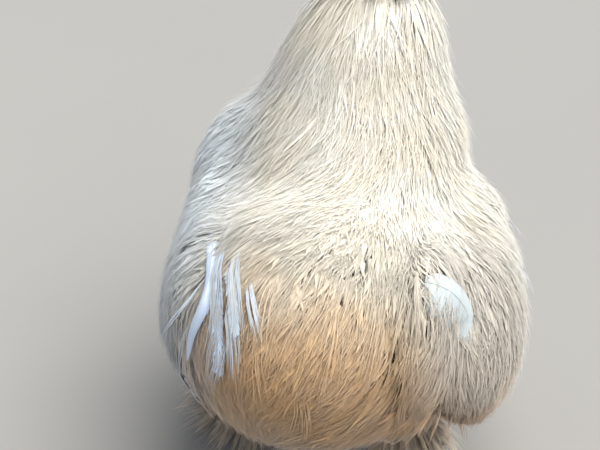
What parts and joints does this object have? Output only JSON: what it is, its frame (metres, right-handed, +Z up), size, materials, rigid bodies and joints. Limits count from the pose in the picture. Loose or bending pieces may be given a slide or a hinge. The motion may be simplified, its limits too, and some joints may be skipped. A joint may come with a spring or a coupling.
{
  "type": "silkie chicken",
  "caption": "Standing silkie hen with fluffy white and buff plumage, drooping wings, a round crest, beard and feathered feet.",
  "frame": {"origin": "middle of the bounding box, on the floor", "axes": "+Z up, -Y the way the bird faces, +X to the bird's left"},
  "size_m": [0.2402, 0.2906, 0.3725],
  "materials": {
    "plumage": "soft silky down, white above and buff below",
    "skin": "dark slate skin, satin",
    "foot_skin": "slate scaled skin with buff foot feathers",
    "comb": "dark mulberry, knobbly",
    "earlobe": "pale turquoise, matte",
    "beak": "slate horn, satin",
    "claw": "grey horn, satin",
    "eye": "black, wet"
  },
  "bodies": {
    "root": {"head": "skin", "torso": "plumage", "neck": "plumage", "beard": "plumage", "crest": "plumage", "wing_left": "plumage", "wing_right": "plumage", "tail": "plumage", "thigh_left": "plumage", "thigh_right": "plumage", "beak_upper": "beak", "beak_lower": "beak", "comb": "comb", "eye_left": "eye", "earlobe_left": "earlobe", "foot_left": "foot_skin", "claw_left_inner": "claw", "claw_left_middle": "claw", "claw_left_outer": "claw", "claw_left_hind": "claw", "claw_left_fifth": "claw", "eye_right": "eye", "earlobe_right": "earlobe", "foot_right": "foot_skin", "claw_right_inner": "claw", "claw_right_middle": "claw", "claw_right_outer": "claw", "claw_right_hind": "claw", "claw_right_fifth": "claw"}
  },
  "joints": []
}
